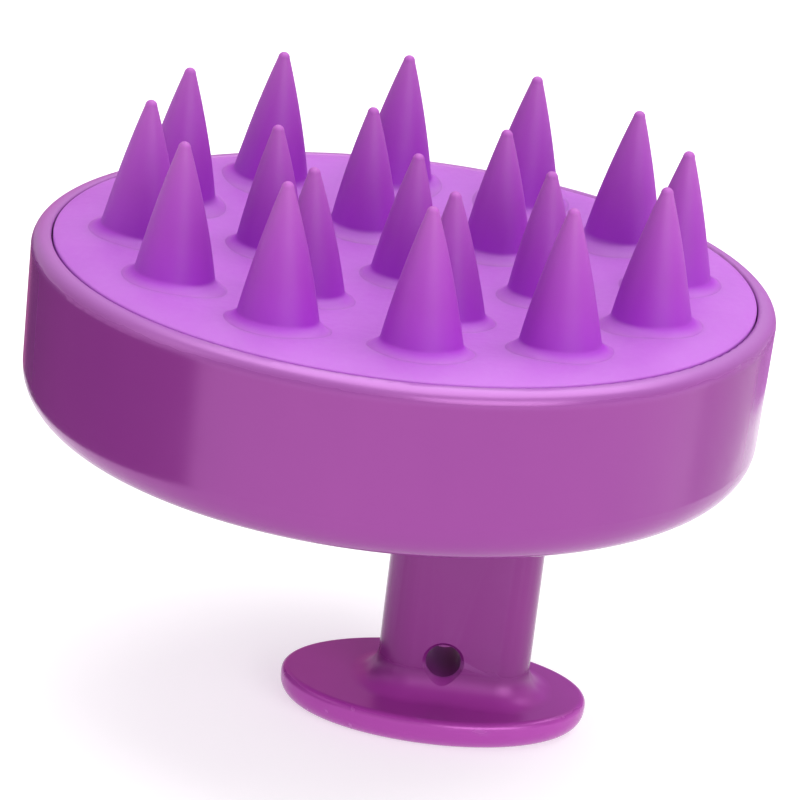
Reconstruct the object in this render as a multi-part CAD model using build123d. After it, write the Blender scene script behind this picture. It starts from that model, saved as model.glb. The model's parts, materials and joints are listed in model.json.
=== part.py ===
from build123d import *
import math
import os

# Round palm brush with soft conical teeth, standing on its handle, teeth up.
# Frame: +Z up along the head's axis, +X along the handle's wide side, origin on the
# head's axis in the plane that the handle's foot rests on. Millimetres.

# head
head_radius = 41.5
head_depth = 19.6
rim_height = 53.8
wall = 2.2
side_draft_deg = 0.6
rim_round = 1.6
rim_inner_round = 0.4
floor_round = 4.6
ledge_width = 1.9
ledge_thickness = 1.8

# soft face and its rigid carrier
pad_thickness = 4.6
pad_rise = 0.1
pad_dish = 2.1
pad_crest = 0.6
pad_edge_round = 1.2
pad_gap = 0.15
pad_turn_deg = -10.0
carrier_thickness = 2.0
plug_radius = 1.6
plug_head_radius = 2.6
plug_head_thickness = 1.0
plug_count = 6
plug_circle_share = 0.70
hook_count = 6
hook_width = 6.0
hook_thickness = 1.3
hook_length = 3.6
hook_barb = 0.9
hook_barb_height = 1.5

# teeth
tooth_base_radius = 4.35
inner_base_radius = 3.85
tooth_tip_radius = 0.6
collar_height = 1.2
collar_foot = 1.0
collar_lip = 0.35
collar_skirt = 0.9
pivot_height = 2.0
ball_excess = 0.1
outer_tooth_height = 15.5
inner_tooth_height = 14.4
centre_tooth_height = 14.4
outer_count = 12
inner_count = 6
edge_margin = 4.15
inner_ring_share = 0.524

# handle
stem_width = 17.5
stem_thickness = 9.2
stem_corner = 3.8
stem_corner_limit = 0.42
stem_offset = 10.9
foot_width = 35.4
foot_depth = 23.2
foot_thickness = 3.7
foot_top_round = 0.8
foot_under_round = 2.4
foot_offset = 8.9
root_fillet = 3.0
hang_hole_radius = 2.0
hang_hole_lip = 0.4
hang_hole_height = 8.0
hang_hole_offset = 9.6
tenon_height = 2.0
tenon_shoulder = 2.0
floor_boss_height = 2.2

# screws
screw_pitch = 8.6
screw_major_radius = 1.5
screw_bite = 0.15
screw_length = 11.0
screw_head_radius = 2.8
screw_head_height = 2.0
screw_slot_width = 0.8
screw_slot_depth = 1.1

# support posts under the carrier
post_count = 4
post_radius = 2.2
post_circle_share = 0.68

# clearances
fit_gap = 0.1
running_gap = 0.05

# levels and radii that follow from the sizes above
floor_z = rim_height - head_depth
floor_inside_z = floor_z + wall
pad_top_z = rim_height + pad_rise
ledge_z = pad_top_z - pad_thickness
ledge_under_z = ledge_z - ledge_thickness
carrier_under_z = ledge_z - carrier_thickness
pocket_radius = head_radius - wall
ledge_radius = pocket_radius - ledge_width
pad_radius = pocket_radius - pad_gap
carrier_radius = ledge_radius - fit_gap
outer_ring_radius = pad_radius - edge_margin - collar_foot - tooth_base_radius
inner_ring_radius = outer_ring_radius * inner_ring_share
dish_radius = outer_ring_radius ** 2 / (2 * pad_dish) + pad_dish / 2
plug_circle = outer_ring_radius * plug_circle_share
post_circle = ledge_radius * post_circle_share
boss_top_z = floor_inside_z + floor_boss_height
stem_round = min(stem_corner, stem_thickness * stem_corner_limit)
tenon_width = stem_width - 2 * tenon_shoulder
tenon_thickness = stem_thickness - 2 * tenon_shoulder
tenon_round = min(stem_round / 2, tenon_thickness * stem_corner_limit)
screw_places = [stem_offset - screw_pitch / 2, stem_offset + screw_pitch / 2]


def polar(radius, angle_deg, z):
    angle = math.radians(angle_deg)
    return Location((radius * math.cos(angle), radius * math.sin(angle), z))


def disc(radius, low, high):
    return Pos(0, 0, low) * Cylinder(radius, high - low, align=(Align.CENTER, Align.CENTER, Align.MIN))


def slab(x_size, y_size, low, high, corner):
    return extrude(Pos(0, 0, low) * RectangleRounded(x_size, y_size, corner), high - low)


def circles_by_height(solid):
    return solid.edges().filter_by(GeomType.CIRCLE).sort_by(Axis.Z)


# The cup: drafted outside, a pocket for the soft face, a ledge under it, posts and a boss inside.
def make_body_shell():
    foot_radius = head_radius - head_depth * math.tan(math.radians(side_draft_deg))
    cup = Pos(0, 0, floor_z) * Cone(
        foot_radius, head_radius, head_depth, align=(Align.CENTER, Align.CENTER, Align.MIN))
    cup = fillet(circles_by_height(cup)[0], floor_round)
    cup = fillet(circles_by_height(cup)[-1], rim_round)
    room_radius = foot_radius - wall
    room = disc(room_radius, floor_inside_z, ledge_under_z)
    room = fillet(circles_by_height(room)[0], max(floor_round - wall, 0.5))
    cup -= room
    cup -= disc(ledge_radius, ledge_under_z, ledge_z)
    cup -= disc(pocket_radius, ledge_z, rim_height)
    mouth = circles_by_height(cup).filter_by(lambda edge: abs(edge.radius - pocket_radius) < 0.01)
    cup = fillet(mouth[-1], rim_inner_round)
    for index in range(post_count):
        angle = 360 / post_count * (index + 0.5)
        cup += polar(post_circle, angle, 0) * disc(post_radius, floor_z + wall / 2, carrier_under_z - fit_gap)
    boss = slab(stem_width, stem_thickness, floor_z + wall / 2, boss_top_z, stem_round)
    cup += Pos(stem_offset, 0, 0) * boss
    socket = slab(tenon_width + 2 * fit_gap, tenon_thickness + 2 * fit_gap,
                  floor_z, floor_z + tenon_height + fit_gap, tenon_round)
    cup -= Pos(stem_offset, 0, 0) * socket
    for x in screw_places:
        cup -= Pos(x, 0, 0) * disc(screw_major_radius + fit_gap, floor_z, boss_top_z)
    return cup


# One hook of the carrier: a short leg with an outward barb that catches under the ledge.
def make_hook():
    outer = math.sqrt(carrier_radius ** 2 - (hook_width / 2) ** 2)
    inner = outer - hook_thickness
    low = carrier_under_z - hook_length
    catch = ledge_under_z - fit_gap
    outline = Polyline(
        (inner, carrier_under_z + carrier_thickness / 2),
        (outer, carrier_under_z + carrier_thickness / 2),
        (outer, catch),
        (outer + hook_barb, catch),
        (outer + hook_barb, catch - hook_barb_height / 3),
        (outer, catch - hook_barb_height),
        (outer - hook_thickness / 4, low),
        (inner, low),
        close=True,
    )
    face = Plane.XZ * make_face(outline)
    return extrude(face, hook_width / 2, both=True)


# Rigid disc that backs the soft face; the soft material passes through its holes.
def make_carrier_plate():
    plate = disc(carrier_radius, carrier_under_z, ledge_z)
    hook = make_hook()
    for index in range(hook_count):
        plate += Rot(0, 0, pad_turn_deg + 360 / hook_count * index) * hook
    for index in range(plug_count):
        angle = pad_turn_deg + 360 / plug_count * (index + 0.5)
        plate -= polar(plug_circle, angle, 0) * disc(plug_radius + running_gap, carrier_under_z, ledge_z)
    return plate


# Height of the dished face at a distance from the axis.
def face_z(radius):
    return pad_top_z - pad_dish + dish_radius - math.sqrt(dish_radius ** 2 - radius ** 2)


# Every tooth: its name, where its foot's middle is, its height and the radius of its foot.
def tooth_places():
    places = [("tooth_centre", polar(0.0, 0.0, face_z(0.0)), centre_tooth_height, inner_base_radius)]
    for index in range(inner_count):
        place = polar(inner_ring_radius, pad_turn_deg + 360 / inner_count * index, face_z(inner_ring_radius))
        places.append((f"tooth_inner_{index + 1}", place, inner_tooth_height, inner_base_radius))
    for index in range(outer_count):
        angle = pad_turn_deg + 360 / outer_count * (index + 0.5)
        place = polar(outer_ring_radius, angle, face_z(outer_ring_radius))
        places.append((f"tooth_outer_{index + 1:02d}", place, outer_tooth_height, tooth_base_radius))
    return places


# The soft face: a dished disc with a raised collar and a round socket for every tooth,
# and plugs under it that end in heads below the carrier.
def make_bristle_pad():
    pad = disc(pad_radius, ledge_z, pad_top_z + pad_crest)
    pad = fillet(circles_by_height(pad)[-1], pad_edge_round)
    pad -= Pos(0, 0, face_z(0.0) + dish_radius) * Sphere(dish_radius)
    for name, place, height, base in tooth_places():
        pad += place * disc(base + collar_foot, -collar_skirt, 0)
        pad += place * Cone(base + collar_foot, base + ball_excess + collar_lip, collar_height,
                            align=(Align.CENTER, Align.CENTER, Align.MIN))
    for name, place, height, base in tooth_places():
        pad -= place * Pos(0, 0, pivot_height) * Sphere(base + ball_excess + running_gap)
    for index in range(plug_count):
        place = polar(plug_circle, pad_turn_deg + 360 / plug_count * (index + 0.5), 0)
        pad += place * disc(plug_radius, carrier_under_z - running_gap, ledge_z)
        head_top = carrier_under_z - running_gap
        pad += place * disc(plug_head_radius, head_top - plug_head_thickness, head_top)
    return pad


# A tooth: a cone with a round tip whose lower end is part of a ball centred on its pivot.
def make_tooth(height, base):
    ball_radius = base + ball_excess
    slope = (base - tooth_tip_radius) / (height - collar_height)
    start = pivot_height - ball_radius
    length = height - start
    low_radius = base + slope * (collar_height - start)
    cone = Pos(0, 0, start) * Cone(
        low_radius, tooth_tip_radius, length, align=(Align.CENTER, Align.CENTER, Align.MIN))
    cone = fillet(circles_by_height(cone)[-1], tooth_tip_radius * 0.9)
    ball = Pos(0, 0, pivot_height) * Sphere(ball_radius)
    room = ball + disc(2 * ball_radius, pivot_height, height + 1)
    return cone & room


# Handle: a slim stem with a tenon on top, an oval foot, and a hole to hang it by.
def make_handle():
    foot = Pos(foot_offset, 0, 0) * extrude(Ellipse(foot_width / 2, foot_depth / 2), foot_thickness)
    rims = foot.edges().filter_by(GeomType.LINE, reverse=True).sort_by(Axis.Z)
    foot = fillet(rims[-1], foot_top_round)
    rims = foot.edges().filter_by(GeomType.LINE, reverse=True).sort_by(Axis.Z)
    foot = fillet(rims[0], foot_under_round)
    stem = Pos(stem_offset, 0, 0) * slab(stem_width, stem_thickness, foot_thickness / 2, floor_z, stem_round)
    handle = foot + stem
    root = handle.edges().filter_by(
        lambda edge: abs(edge.center().Z - foot_thickness) < 0.01
        and abs(edge.center().X - stem_offset) < stem_width / 2 + 0.1
        and abs(edge.center().Y) < stem_thickness / 2 + 0.1)
    handle = fillet(root, root_fillet)
    tenon = slab(tenon_width, tenon_thickness, floor_z, floor_z + tenon_height, tenon_round)
    handle += Pos(stem_offset, 0, 0) * tenon
    for x in screw_places:
        bore_low = floor_z + tenon_height - screw_length
        handle -= Pos(x, 0, 0) * disc(screw_major_radius - screw_bite, bore_low, floor_z + tenon_height)
    across = Pos(hang_hole_offset, 0, hang_hole_height) * Rot(90, 0, 0)
    handle -= across * Cylinder(hang_hole_radius, stem_thickness * 2)
    mouth = Pos(0, 0, stem_thickness / 2) * Cone(
        hang_hole_radius, hang_hole_radius + 2 * hang_hole_lip, 2 * hang_hole_lip)
    handle -= across * mouth
    handle -= across * Rot(180, 0, 0) * mouth
    return handle


# Two self-tapping pan-head screws, driven from inside the cup into the stem.
def make_handle_screws():
    screws = []
    for x in screw_places:
        tip = floor_z + tenon_height - screw_length + 1.0
        screw = disc(screw_major_radius, tip, boss_top_z)
        screw = chamfer(circles_by_height(screw)[0], screw_major_radius * 0.4)
        head = disc(screw_head_radius, boss_top_z, boss_top_z + screw_head_height)
        screw += fillet(circles_by_height(head)[-1], screw_head_height * 0.45)
        low = boss_top_z + screw_head_height - screw_slot_depth
        for turn in (0, 90):
            blade = slab(screw_head_radius * 1.2, screw_slot_width, low, low + screw_head_height,
                         screw_slot_width * 0.4)
            screw -= Rot(0, 0, turn) * blade
        screws.append(Pos(x, 0, 0) * screw)
    return Compound(children=screws)


os.makedirs("parts", exist_ok=True)
nodes = {
    "body_shell": make_body_shell(),
    "carrier_plate": make_carrier_plate(),
    "bristle_pad": make_bristle_pad(),
    "handle": make_handle(),
    "handle_screws": make_handle_screws(),
}
for name, place, height, base in tooth_places():
    nodes[name] = place * make_tooth(height, base)
for name, shape in nodes.items():
    export_step(shape, f"parts/{name}.step")
print(f"{len(nodes)} nodes, outer ring {outer_ring_radius:.2f}, inner ring {inner_ring_radius:.2f}")
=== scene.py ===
import json
import math
import bpy
import bmesh
from mathutils import Matrix, Vector

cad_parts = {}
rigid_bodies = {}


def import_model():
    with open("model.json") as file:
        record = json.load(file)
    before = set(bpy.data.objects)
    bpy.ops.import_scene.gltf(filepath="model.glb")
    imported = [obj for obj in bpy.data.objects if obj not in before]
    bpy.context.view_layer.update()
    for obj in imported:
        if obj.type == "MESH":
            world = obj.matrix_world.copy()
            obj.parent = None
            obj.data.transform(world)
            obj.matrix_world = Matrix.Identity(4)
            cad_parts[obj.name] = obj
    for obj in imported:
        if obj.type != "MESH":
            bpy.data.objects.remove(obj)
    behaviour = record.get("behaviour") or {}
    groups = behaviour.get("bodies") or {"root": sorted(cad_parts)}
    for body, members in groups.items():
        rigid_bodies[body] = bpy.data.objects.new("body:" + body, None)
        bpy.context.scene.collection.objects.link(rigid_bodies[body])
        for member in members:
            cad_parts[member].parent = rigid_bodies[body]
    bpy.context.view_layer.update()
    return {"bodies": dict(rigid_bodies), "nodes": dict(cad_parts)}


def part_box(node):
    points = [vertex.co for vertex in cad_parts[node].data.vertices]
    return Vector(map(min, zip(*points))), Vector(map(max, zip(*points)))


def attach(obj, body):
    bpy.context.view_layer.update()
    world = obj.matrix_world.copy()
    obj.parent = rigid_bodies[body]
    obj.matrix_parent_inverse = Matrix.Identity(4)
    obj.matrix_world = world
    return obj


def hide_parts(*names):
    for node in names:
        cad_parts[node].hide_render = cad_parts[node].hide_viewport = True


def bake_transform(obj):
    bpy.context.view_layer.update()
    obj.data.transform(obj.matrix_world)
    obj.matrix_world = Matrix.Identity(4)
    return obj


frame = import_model()

mm = 0.001


# a socket that takes part in arithmetic: each sign adds a Math node to its tree
class Wire:
    def __init__(self, tree, socket):
        self.tree = tree
        self.socket = socket

    def join(self, operation, other=None, swap=False):
        node = self.tree.nodes.new("ShaderNodeMath")
        node.operation = operation
        pair = (other, self) if swap else (self, other)
        for slot, item in zip(node.inputs, pair):
            if isinstance(item, Wire):
                self.tree.links.new(item.socket, slot)
            elif item is not None:
                slot.default_value = item
        return Wire(self.tree, node.outputs[0])

    def __add__(self, other): return self.join("ADD", other)
    def __radd__(self, other): return self.join("ADD", other)
    def __sub__(self, other): return self.join("SUBTRACT", other)
    def __rsub__(self, other): return self.join("SUBTRACT", other, swap=True)
    def __mul__(self, other): return self.join("MULTIPLY", other)
    def __rmul__(self, other): return self.join("MULTIPLY", other)
    def __truediv__(self, other): return self.join("DIVIDE", other)
    def __rtruediv__(self, other): return self.join("DIVIDE", other, swap=True)
    def __pow__(self, other): return self.join("POWER", other)
    def least(self, other): return self.join("MINIMUM", other)
    def most(self, other): return self.join("MAXIMUM", other)
    def above(self, other): return self.join("GREATER_THAN", other)
    def root(self): return self.join("SQRT")
    def size(self): return self.join("ABSOLUTE")
    def clipped(self): return self.most(0.0).least(1.0)


# a shader or geometry tree that is filled by code
class Tree:
    def __init__(self, tree):
        self.tree = tree

    # one node: its type, its settings, then values or links by socket name, or as i0, i1 by socket number
    def node(self, kind, settings=None, **values):
        made = self.tree.nodes.new(kind)
        for key, value in (settings or {}).items():
            setattr(made, key, value)
        for key, value in values.items():
            numbered = key[0] == "i" and key[1:].isdigit()
            slot = made.inputs[int(key[1:]) if numbered else key.replace("_", " ")]
            if isinstance(value, Wire):
                self.tree.links.new(value.socket, slot)
            else:
                slot.default_value = value
        return made

    def out(self, made, output=0):
        return Wire(self.tree, made.outputs[output])

    def wire(self, kind, settings=None, output=0, **values):
        return self.out(self.node(kind, settings, **values), output)


# a material on Object coordinates
class Paint(Tree):
    def __init__(self, name, viewColour):
        self.material = bpy.data.materials.new(name)
        self.material.use_nodes = True
        self.material.diffuse_color = (*viewColour, 1.0)
        super().__init__(self.material.node_tree)
        self.tree.nodes.clear()
        self.output = self.tree.nodes.new("ShaderNodeOutputMaterial")
        self.place = self.wire("ShaderNodeTexCoord", output="Object")

    def noise(self, scale, detail=2.0, roughness=0.5, stretch=None):
        vector = self.place
        if stretch:
            vector = self.wire("ShaderNodeMapping", Vector=vector, Scale=stretch)
        return self.wire("ShaderNodeTexNoise", Vector=vector, Scale=scale, Detail=detail,
                         Roughness=roughness)

    def mix(self, factor, first, second):
        return self.wire("ShaderNodeMix", {"data_type": "RGBA"}, output=2, i0=factor, i6=first, i7=second)

    def bump(self, height, strength, distance, normal=None):
        values = {"Height": height, "Strength": strength, "Distance": distance}
        if normal:
            values["Normal"] = normal
        return self.wire("ShaderNodeBump", **values)

    def shade(self, **values):
        surface = self.node("ShaderNodeBsdfPrincipled", **values)
        self.tree.links.new(surface.outputs[0], self.output.inputs["Surface"])
        return self.material


def rgba(colour):
    return (*colour, 1.0)


view = {
    "stand": (0.0, -0.3826, 0.1770),
    "aim": (0.00114, 0.0, 0.03735),
    "rollDeg": 6.87,
    "lens": 162.9,
    "sensor": 36.0,
    "nearest": 0.01,
}


def makeCamera():
    data = bpy.data.cameras.new("viewCamera")
    data.lens = view["lens"]
    data.sensor_width = view["sensor"]
    data.clip_start = view["nearest"]
    camera = bpy.data.objects.new("viewCamera", data)
    bpy.context.scene.collection.objects.link(camera)
    look = (Vector(view["aim"]) - Vector(view["stand"])).to_track_quat("-Z", "Y")
    turn = look.to_matrix().to_4x4() @ Matrix.Rotation(math.radians(view["rollDeg"]), 4, "Z")
    camera.matrix_world = Matrix.Translation(view["stand"]) @ turn
    bpy.context.scene.camera = camera


lights = {
    "worldColour": (1.0, 0.985, 0.99),
    "worldStrength": 0.55,
    "softboxes": [
        {"name": "topSoftbox", "place": (0.10, 0.10, 0.75), "aim": (0, 0, 0.03),
         "size": (0.9, 0.9), "watts": 7.0},
        {"name": "frontSoftbox", "place": (0.45, -0.75, 0.40), "aim": (0, 0, 0.03),
         "size": (0.7, 0.5), "watts": 4.0},
        {"name": "leftSoftbox", "place": (-0.80, -0.25, 0.50), "aim": (0, 0, 0.04),
         "size": (0.4, 0.6), "watts": 0.7},
    ],
}

floorPaper = {
    "half": 3.0,
    "colour": (0.60, 0.60, 0.602),
    "deep": (0.57, 0.57, 0.575),
    "grain": 900.0,
    "grainShare": 0.15,
    "roughness": 0.85,
    "glow": 0.55,
}

# upright cards round the object, corners in millimetres; only its reflections see them
flags = {
    "roughness": 0.9,
    "cards": [
        {"name": "leftFlag", "colour": (0.03, 0.01, 0.03),
         "corners": [(-75, -68, 0), (-75, 85, 0), (-75, 85, 48), (-75, -68, 48)]},
        {"name": "backLeftFlag", "colour": (0.45, 0.14, 0.30),
         "corners": [(-75, 85, 0), (10, 170, 0), (10, 170, 88), (-75, 85, 88)]},
        {"name": "backRightFlag", "colour": (0.55, 0.24, 0.60),
         "corners": [(10, 170, 0), (110, 90, 0), (110, 90, 88), (10, 170, 88)]},
        {"name": "rightFlag", "colour": (0.88, 0.74, 0.88),
         "corners": [(110, 90, 0), (110, 0, 0), (110, 0, 55), (110, 90, 55)]},
    ],
}


def makeWorld():
    world = bpy.data.worlds.new("studio")
    world.use_nodes = True
    background = world.node_tree.nodes["Background"]
    background.inputs["Color"].default_value = rgba(lights["worldColour"])
    background.inputs["Strength"].default_value = lights["worldStrength"]
    bpy.context.scene.world = world
    bpy.context.scene.view_settings.view_transform = "Standard"
    for box in lights["softboxes"]:
        data = bpy.data.lights.new(box["name"], "AREA")
        data.shape = "RECTANGLE"
        data.size, data.size_y = box["size"]
        data.energy = box["watts"]
        lamp = bpy.data.objects.new(box["name"], data)
        bpy.context.scene.collection.objects.link(lamp)
        lamp.location = box["place"]
        towards = Vector(box["aim"]) - Vector(box["place"])
        lamp.rotation_euler = towards.to_track_quat("-Z", "Y").to_euler()


def meshObject(name, vertices, faces, smooth=True):
    mesh = bpy.data.meshes.new(name)
    mesh.from_pydata(vertices, [], faces)
    mesh.polygons.foreach_set("use_smooth", [smooth] * len(mesh.polygons))
    mesh.update()
    made = bpy.data.objects.new(name, mesh)
    bpy.context.scene.collection.objects.link(made)
    return made


def makeStage():
    half = floorPaper["half"]
    corners = [(-half, -half, 0), (half, -half, 0), (half, half, 0), (-half, half, 0)]
    floor = meshObject("studioFloor", corners, [(0, 1, 2, 3)], smooth=False)
    paint = Paint("floorPaper", floorPaper["colour"])
    grain = paint.noise(floorPaper["grain"]) * floorPaper["grainShare"]
    colour = paint.mix(grain, rgba(floorPaper["colour"]), rgba(floorPaper["deep"]))
    floor.data.materials.append(paint.shade(
        Base_Color=colour, Roughness=floorPaper["roughness"], Emission_Color=rgba((1.0, 1.0, 1.0)),
        Emission_Strength=floorPaper["glow"]))
    for card in flags["cards"]:
        corners = [tuple(Vector(corner) * mm) for corner in card["corners"]]
        flag = meshObject(card["name"], corners, [(0, 1, 2, 3)], smooth=False)
        cloth = Paint(card["name"] + "Cloth", card["colour"])
        flag.data.materials.append(
            cloth.shade(Base_Color=rgba(card["colour"]), Roughness=flags["roughness"]))
        flag.visible_camera = flag.visible_diffuse = flag.visible_shadow = False


silicone = {
    "face": (0.402, 0.115, 0.522),
    "faceDeep": (0.364, 0.090, 0.480),
    # painted light: a brighter, bluer colour at each tooth's root over the shade there
    "root": (0.340, 0.030, 0.530),
    # the teeth's colours are deeper, painted-shade versions of the face's silicone
    "tooth": (0.300, 0.027, 0.415),
    "toothDeep": (0.275, 0.020, 0.395),
    # painted highlight: a paler colour towards each tooth's tip
    "pale": (0.38, 0.105, 0.390),
    "rootReach": 6.0 * mm,
    "rootShare": 0.6,
    "footFade": (0.4 * mm, 0.30),
    "toothFrom": 0.60 * mm,
    "toothFade": (0.45 * mm, 0.70),
    "paleShare": 0.8,
    "cloudScale": 85.0,
    "grainScale": 5200.0,
    "speckScale": 900.0,
    "grainBump": (0.16, 0.02 * mm),
    "speckBump": (0.10, 0.05 * mm),
    "roughness": 0.52,
    "roughVary": 0.22,
    "scatter": 0.32,
    "scatterRadius": (1.0, 0.35, 1.0),
    "scatterScale": 1.6 * mm,
    "ior": 1.41,
}


# soft moulded silicone with a fine matt grain and cloudy colour; a tooth has the face's colour where
# it leaves the face, is deeper above that as painted shade, brighter and bluer near its root as painted
# light, and paler towards its tip as a painted highlight
def siliconeMaterial(name, faceZ=None, tipZ=None):
    paint = Paint(name, silicone["face"])
    cloud = ((paint.noise(silicone["cloudScale"], 3.0) - 0.4) * 2.2).clipped()
    grain = paint.noise(silicone["grainScale"], 2.0, 0.6)
    speck = paint.noise(silicone["speckScale"], 4.0, 0.65)
    colour = paint.mix(cloud, rgba(silicone["face"]), rgba(silicone["faceDeep"]))
    if tipZ:
        height = paint.wire("ShaderNodeSeparateXYZ", Vector=paint.place, output=2) - faceZ
        # the tooth's deeper colour is painted shade on the face's silicone
        body = paint.mix(cloud, rgba(silicone["tooth"]), rgba(silicone["toothDeep"]))
        # painted light, brighter and bluer towards the tooth's root
        low = (1.0 - height / silicone["rootReach"]).clipped()
        body = paint.mix(low * silicone["rootShare"], body, rgba(silicone["root"]))
        footReach, footShare = silicone["footFade"]
        toothReach, toothShare = silicone["toothFade"]
        leaving = (height / footReach).clipped() * footShare
        above = ((height - silicone["toothFrom"]) / toothReach).clipped() * toothShare
        colour = paint.mix(leaving + above, colour, body)
        # painted highlight, paler towards the tooth's tip
        rise = (height / (tipZ - faceZ)).clipped()
        colour = paint.mix((rise ** 2.0) * silicone["paleShare"], colour, rgba(silicone["pale"]))
    normal = paint.bump(grain, *silicone["grainBump"])
    normal = paint.bump(speck, *silicone["speckBump"], normal)
    return paint.shade(
        Base_Color=colour, Roughness=silicone["roughness"] + (speck - 0.5) * silicone["roughVary"],
        Normal=normal, Subsurface_Weight=silicone["scatter"],
        Subsurface_Radius=silicone["scatterRadius"], Subsurface_Scale=silicone["scatterScale"],
        IOR=silicone["ior"])


plastic = {
    "shell": (0.262, 0.038, 0.258),
    "shellDeep": (0.232, 0.029, 0.234),
    # the stem is painted darker than the shell: painted shade under the head
    "stem": (0.215, 0.017, 0.198),
    "stemDeep": (0.190, 0.013, 0.178),
    # the foot is painted lighter than the stem: painted light
    "foot": (0.400, 0.050, 0.375),
    "worn": (0.42, 0.17, 0.46),
    # painted shade inside the hanging hole
    "core": (0.150, 0.008, 0.150),
    # the rim's paler colour is a painted highlight and painted light from the face through the thin rim
    "rim": (0.40, 0.145, 0.47),
    "flowScale": 38.0,
    "hazeScale": 160.0,
    "wipeScale": 2600.0,
    "flowBump": (0.12, 0.05 * mm),
    "wipeBump": (0.05, 0.01 * mm),
    "splitBump": (0.12, 0.02 * mm),
    "pearl": 0.22,
    "ior": 1.48,
    "roughness": 0.20,
    "roughVary": 0.10,
    "wornRough": 0.15,
    "wornShare": 0.25,
    "rimGlow": 2.0 * mm,
    "rimShare": 0.85,
    "rimRough": 0.16,
    "rimLine": 3.2 * mm,
    "footTop": 3.9 * mm,
    "footFade": 2.5 * mm,
    "rootMiddle": 5.2 * mm,
    "rootReach": 2.6 * mm,
    "rootRough": 0.22,
    "hole": (9.6 * mm, 8.0 * mm, 2.15 * mm),
    "holeFade": 0.25 * mm,
    "holeRough": 0.5,
    "splitLine": 0.07 * mm,
}


# a line as fine as a mould's parting line, where a distance is nought
def finely(distance):
    return 1.0 - (distance.size() / plastic["splitLine"]).clipped()


# glossy pearl plastic: faint flow clouds, wiping marks, and worn edges that are paler and duller
def plasticMaterial(name, colour, deep, partOf):
    paint = Paint(name, colour)
    flow = paint.noise(plastic["flowScale"], 3.0, 0.55, stretch=(1.0, 1.0, 0.4))
    haze = paint.noise(plastic["hazeScale"], 3.0, 0.6)
    wipe = paint.noise(plastic["wipeScale"], 2.0, 0.5, stretch=(1.0, 1.0, 0.05))
    axes = paint.node("ShaderNodeSeparateXYZ", Vector=paint.place)
    x, y, z = (paint.out(axes, index) for index in range(3))
    edge = paint.wire("ShaderNodeNewGeometry", output="Pointiness")
    wear = ((edge - 0.53) * 9.0).clipped() * (haze * 1.4).clipped()
    tint = paint.mix(((flow - 0.35) * 2.0).clipped(), rgba(colour), rgba(deep))
    roughness = plastic["roughness"] + (haze - 0.5) * plastic["roughVary"] + wear * plastic["wornRough"]
    if partOf == "handle":
        # the foot is painted lighter than the stem: painted light on the thin foot and painted shade on
        # the stem; the hole's wall is matt and painted dark as painted shade
        upStem = ((z - plastic["footTop"]) / plastic["footFade"]).clipped()
        tint = paint.mix(upStem, rgba(plastic["foot"]), tint)
        holeX, holeZ, holeRadius = plastic["hole"]
        away = ((x - holeX) ** 2.0 + (z - holeZ) ** 2.0).root()
        inHole = ((holeRadius - away) / plastic["holeFade"]).clipped()
        # painted shade inside the hole
        tint = paint.mix(inHole, tint, rgba(plastic["core"]))
        nearRoot = (1.0 - (z - plastic["rootMiddle"]).size() / plastic["rootReach"]).clipped()
        roughness = roughness + inHole * plastic["holeRough"] + nearRoot * plastic["rootRough"]
        split = finely(y)
    else:
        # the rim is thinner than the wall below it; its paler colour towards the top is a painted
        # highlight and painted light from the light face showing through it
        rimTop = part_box("body_shell")[1].z
        glow = ((z - (rimTop - plastic["rimGlow"])) / plastic["rimGlow"]).clipped()
        wear = wear * (1.0 - glow)
        tint = paint.mix(glow ** 1.5 * plastic["rimShare"], tint, rgba(plastic["rim"]))
        roughness = roughness + glow * plastic["rimRough"]
        split = finely(z - (rimTop - plastic["rimLine"]))
    tint = paint.mix(wear * plastic["wornShare"], tint, rgba(plastic["worn"]))
    normal = paint.bump(wipe, *plastic["wipeBump"])
    normal = paint.bump(flow, *plastic["flowBump"], normal)
    normal = paint.bump(split, *plastic["splitBump"], normal)
    return paint.shade(Base_Color=tint, Roughness=roughness, Normal=normal,
                       Metallic=plastic["pearl"], IOR=plastic["ior"])


carrier = {
    "colour": (0.72, 0.67, 0.74),
    "deep": (0.65, 0.60, 0.69),
    "mouldScale": 700.0,
    "cloudScale": 60.0,
    "mouldBump": (0.2, 0.03 * mm),
    "roughness": 0.5,
    "roughVary": 0.3,
}


def carrierMaterial():
    paint = Paint("carrierPlastic", carrier["colour"])
    mould = paint.noise(carrier["mouldScale"], 4.0, 0.6)
    cloud = paint.noise(carrier["cloudScale"])
    colour = paint.mix(cloud, rgba(carrier["colour"]), rgba(carrier["deep"]))
    return paint.shade(Base_Color=colour, Normal=paint.bump(mould, *carrier["mouldBump"]),
                       Roughness=carrier["roughness"] + (mould - 0.5) * carrier["roughVary"])


screws = {
    "bright": (0.62, 0.62, 0.64),
    "dull": (0.48, 0.47, 0.46),
    "turnedScale": 1500.0,
    "stainScale": 300.0,
    "turnedBump": (0.15, 0.02 * mm),
    "roughness": 0.28,
    "roughVary": 0.25,
}


def screwMaterial():
    paint = Paint("screwSteel", screws["bright"])
    turned = paint.noise(screws["turnedScale"], 3.0, 0.6, stretch=(1.0, 1.0, 6.0))
    stain = paint.noise(screws["stainScale"], 4.0)
    colour = paint.mix(stain, rgba(screws["bright"]), rgba(screws["dull"]))
    return paint.shade(Base_Color=colour, Metallic=1.0,
                       Roughness=screws["roughness"] + (turned - 0.5) * screws["roughVary"],
                       Normal=paint.bump(turned, *screws["turnedBump"]))


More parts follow.
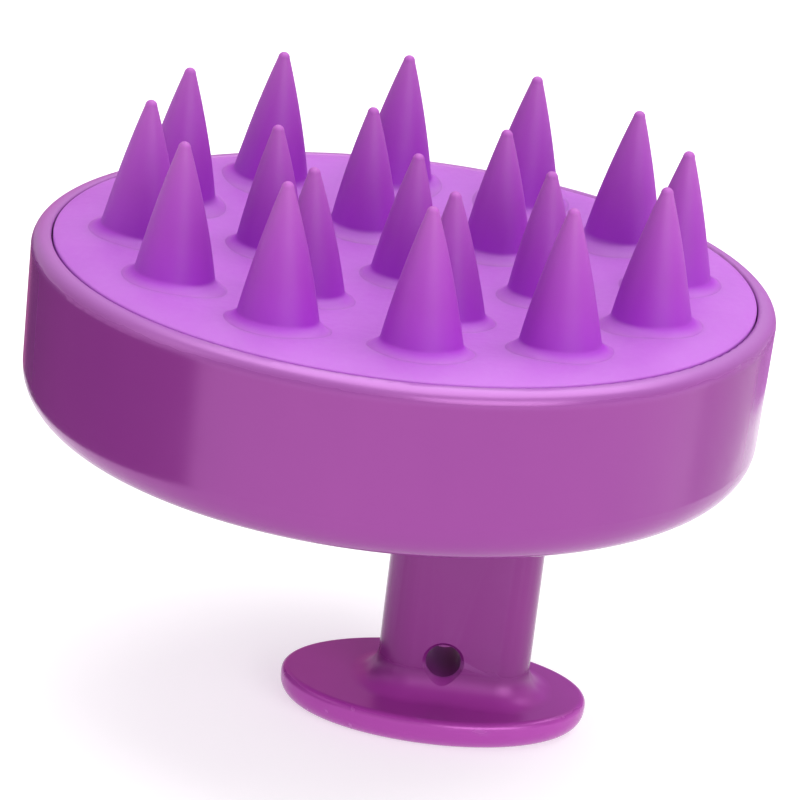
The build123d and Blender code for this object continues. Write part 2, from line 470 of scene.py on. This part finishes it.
padShape = {
    "rise": 0.1 * mm,
    "thickness": 4.6 * mm,
    "dish": 2.1 * mm,
    "ring": 29.65 * mm,
    "easeFrom": 31.0 * mm,
    "crestRadius": 35.0 * mm,
    "lipDrop": 0.05 * mm,
    "lipRound": 0.30 * mm,
    "lipTurnDeg": 55,
    "rollPower": 2.2,
    "underRound": 0.4 * mm,
    "segments": 256,
    "rings": 48,
    "rollRings": 20,
}


# the dish eases off outside the outer teeth and is level at its crest
def dishGains():
    rise = padShape["dish"] / padShape["ring"] ** 2
    ease = rise * padShape["crestRadius"] / (padShape["crestRadius"] - padShape["easeFrom"])
    return rise, ease


# height of the dished face at a distance from its middle, up to its crest
def faceHeight(padTop, distance):
    rise, ease = dishGains()
    past = max(distance - padShape["easeFrom"], 0.0)
    return padTop - padShape["dish"] + rise * distance ** 2 - ease * past ** 2


# points along part of a circle
def arc(centre, radius, startDeg, endDeg, steps):
    points = []
    for step in range(steps + 1):
        angle = math.radians(startDeg + (endDeg - startDeg) * step / steps)
        points.append((centre[0] + radius * math.cos(angle), centre[1] + radius * math.sin(angle)))
    return points


# turns an outline of (radius, height) points round the Z axis; it starts and ends on the axis
def lathe(name, outline, segments):
    vertices, faces, rows = [], [], []
    for radius, height in outline:
        if radius == 0.0:
            rows.append([len(vertices)])
            vertices.append((0.0, 0.0, height))
            continue
        rows.append(list(range(len(vertices), len(vertices) + segments)))
        for step in range(segments):
            angle = 2 * math.pi * step / segments
            vertices.append((radius * math.cos(angle), radius * math.sin(angle), height))
    for lower, upper in zip(rows, rows[1:]):
        for step in range(segments):
            after = (step + 1) % segments
            if len(lower) == 1:
                faces.append((lower[0], upper[after], upper[step]))
            elif len(upper) == 1:
                faces.append((lower[step], lower[after], upper[0]))
            else:
                faces.append((lower[step], lower[after], upper[after], upper[step]))
    return meshObject(name, vertices, faces)


def facesOut(made):
    work = bmesh.new()
    work.from_mesh(made.data)
    bmesh.ops.recalc_face_normals(work, faces=work.faces)
    work.to_mesh(made.data)
    work.free()


# a dished disc whose top rolls over a crest and down to the rim of the cup
def makePad(padTop):
    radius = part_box("bristle_pad")[1].x
    under = padTop - padShape["thickness"]
    lip, low = padShape["lipRound"], padShape["underRound"]
    outline = [(0.0, under)]
    outline += [(radius * share, under) for share in (0.5, 0.9)]
    outline += arc((radius - low, under + low), low, -90, 0, 6)
    lipMiddle = (radius - lip, padTop - padShape["lipDrop"] - lip)
    outline += arc(lipMiddle, lip, 0, padShape["lipTurnDeg"], 8)
    lipX, lipZ = outline[-1]
    crestX = padShape["crestRadius"]
    crestZ = faceHeight(padTop, crestX)
    for step in range(1, padShape["rollRings"] + 1):
        share = step / padShape["rollRings"]
        drop = (1.0 - share) ** padShape["rollPower"]
        outline.append((lipX + (crestX - lipX) * share, crestZ + (lipZ - crestZ) * drop))
    for step in range(1, padShape["rings"]):
        x = crestX * (1.0 - step / padShape["rings"])
        outline.append((x, faceHeight(padTop, x)))
    outline.append((0.0, faceHeight(padTop, 0.0)))
    pad = lathe("softFace", outline, padShape["segments"])
    facesOut(pad)
    pad.data.materials.append(siliconeMaterial("faceSilicone"))
    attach(pad, "brush")
    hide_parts("bristle_pad")


# the tree's own inputs; the seven inner teeth are slimmer by one share
toothShape = {
    "Base Radius": 4.35 * mm,
    "Tip Radius": 0.68 * mm,
    "Swell": 0.22 * mm,
    "Foot Radius": 5.45 * mm,
    "Foot Height": 0.95 * mm,
    "Sunk": 0.04 * mm,
}
teeth = {
    "innerSlim": 0.885,
    "leanDeg": {"inner": 2.2, "outer": 0.0},
    "frontLeanDeg": 1.8,
    "frontLeast": -0.3,
    "bendFrom": 0.8 * mm,
    "bendTo": 7.5 * mm,
    "sides": 80,
    "rows": 72,
    "flare": 1.45,
    "settleFeet": 5.0,
}


# one tooth: a tube whose rows are moved out to the tooth's outline, over its place on the face
def toothTree():
    group = bpy.data.node_groups.new("toothTree", "GeometryNodeTree")
    group.is_modifier = True
    names = ["Height", "Base Radius", "Tip Radius", "Swell", "Foot Radius", "Foot Height", "Sunk",
             "Face Height", "Dish Gain", "Ease Gain", "Ease From", "Place X", "Place Y", "Lean"]
    group.interface.new_socket("Geometry", in_out="OUTPUT", socket_type="NodeSocketGeometry")
    for name in names:
        group.interface.new_socket(name, in_out="INPUT", socket_type="NodeSocketFloat")
    group.interface.new_socket("Material", in_out="INPUT", socket_type="NodeSocketMaterial")
    tree = Tree(group)
    given = group.nodes.new("NodeGroupInput")
    value = {name: Wire(group, given.outputs[name]) for name in names + ["Material"]}
    tube = tree.node("GeometryNodeMeshCylinder", {"fill_type": "TRIANGLE_FAN"},
                     Vertices=teeth["sides"], Side_Segments=teeth["rows"], Fill_Segments=1,
                     Radius=1.0, Depth=1.0)
    here = tree.wire("GeometryNodeInputPosition")
    parts = tree.node("ShaderNodeSeparateXYZ", Vector=here)
    x, y, z = (Wire(group, socket) for socket in parts.outputs)
    share = (z + 0.5).clipped()
    eased = share * share * (3.0 - 2.0 * share)
    rise = eased * (value["Height"] + value["Sunk"]) - value["Sunk"]
    tipStart = value["Height"] - value["Tip Radius"]
    slope = (value["Base Radius"] - value["Tip Radius"]) / (tipStart - value["Foot Height"])
    along = ((rise - value["Foot Height"]) / (tipStart - value["Foot Height"])).clipped()
    swell = value["Swell"] * 4.0 * along * (1.0 - along)
    cone = value["Base Radius"] - slope * (rise - value["Foot Height"]) + swell
    footShare = (1.0 - rise / value["Foot Height"]).most(0.0)
    foot = (value["Foot Radius"] - value["Base Radius"]) * (footShare ** teeth["flare"])
    overTip = (rise - tipStart).most(0.0)
    ball = (value["Tip Radius"] * value["Tip Radius"] - overTip * overTip).most(0.0).root()
    inTip = rise.above(tipStart)
    radius = (cone + foot) * (1.0 - inTip) + ball * inTip
    shift = value["Lean"] * rise
    newX = x * radius + value["Place X"] + shift
    newY = y * radius + value["Place Y"]
    outside = newX * newX + newY * newY
    inside = value["Place X"] * value["Place X"] + value["Place Y"] * value["Place Y"]
    past = (outside.root() - value["Ease From"]).most(0.0)
    slopeHere = (outside - inside) * value["Dish Gain"] - past * past * value["Ease Gain"]
    # the foot follows the dish, and the tooth above it doesn't
    settle = (1.0 - rise / (teeth["settleFeet"] * value["Foot Height"])).clipped()
    moved = tree.wire("ShaderNodeCombineXYZ", X=newX, Y=newY,
                      Z=rise + value["Face Height"] + slopeHere * settle)
    shaped = tree.node("GeometryNodeSetPosition", Geometry=tree.out(tube), Position=moved)
    smooth = tree.node("GeometryNodeSetShadeSmooth", Geometry=tree.out(shaped))
    real = tree.node("GeometryNodeRealizeInstances", Geometry=tree.out(smooth))
    coated = tree.node("GeometryNodeSetMaterial", Geometry=tree.out(real), Material=value["Material"])
    done = group.nodes.new("NodeGroupOutput")
    group.links.new(coated.outputs[0], done.inputs[0])
    return group


# runs a tree with the given inputs and keeps the result as a plain mesh
def growMesh(name, group, values):
    holder = meshObject(name + "Seed", [], [])
    modifier = holder.modifiers.new("grow", "NODES")
    modifier.node_group = group
    for item in group.interface.items_tree:
        if item.in_out == "INPUT":
            modifier[item.identifier] = values[item.name]
    graph = bpy.context.evaluated_depsgraph_get()
    mesh = bpy.data.meshes.new_from_object(holder.evaluated_get(graph))
    mesh.name = name
    made = bpy.data.objects.new(name, mesh)
    bpy.context.scene.collection.objects.link(made)
    holder.modifiers.remove(modifier)
    bpy.data.objects.remove(holder)
    return made


# how far a tooth leans towards -X for each unit of its height
def leanOf(ring, front):
    if ring == "centre":
        return 0.0
    degrees = teeth["leanDeg"][ring] + teeth["frontLeanDeg"] * max(front, teeth["frontLeast"])
    return -math.tan(math.radians(degrees))


def makeTeeth(padTop):
    group = toothTree()
    riseGain, easeGain = dishGains()
    materials = {}
    for body in sorted(frame["bodies"]):
        if not body.startswith("tooth_"):
            continue
        low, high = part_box(body)
        place = (low + high) / 2
        ring = body.split("_")[1]
        away = Vector((place.x, place.y)).length
        foot = faceHeight(padTop, away)
        if ring not in materials:
            materials[ring] = siliconeMaterial(f"{ring}ToothSilicone", foot, high.z)
        values = dict(toothShape)
        values.update({
            "Height": high.z - foot, "Face Height": foot, "Place X": place.x, "Place Y": place.y,
            "Dish Gain": riseGain, "Ease Gain": easeGain, "Ease From": padShape["easeFrom"],
            "Lean": leanOf(ring, -place.y / max(away, 1 * mm)), "Material": materials[ring]})
        if ring != "outer":
            values["Base Radius"] = toothShape["Base Radius"] * teeth["innerSlim"]
            values["Foot Radius"] = toothShape["Foot Radius"] * teeth["innerSlim"]
        side = "".join(word.capitalize() for word in body.split("_")[1:])
        tooth = growMesh("tooth" + side, group, values)
        start = (place.x, place.y, foot + teeth["bendFrom"])
        end = (place.x, place.y, foot + teeth["bendTo"])
        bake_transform(tooth)
        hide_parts(body)


# gives a CAD node its finish
def paintNode(node, material):
    target = frame["nodes"][node]
    target.data.materials.clear()
    target.data.materials.append(material)


makeCamera()
makeWorld()
makeStage()
print("camera, light and floor are made")
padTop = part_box("body_shell")[1].z + padShape["rise"]
makePad(padTop)
makeTeeth(padTop)
print("the soft face and its teeth are made")
shellPlastic = plasticMaterial("shellPlastic", plastic["shell"], plastic["shellDeep"], "shell")
handlePlastic = plasticMaterial("handlePlastic", plastic["stem"], plastic["stemDeep"], "handle")
paintNode("body_shell", shellPlastic)
paintNode("handle", handlePlastic)
paintNode("carrier_plate", carrierMaterial())
paintNode("handle_screws", screwMaterial())
print("the hard pieces are painted")
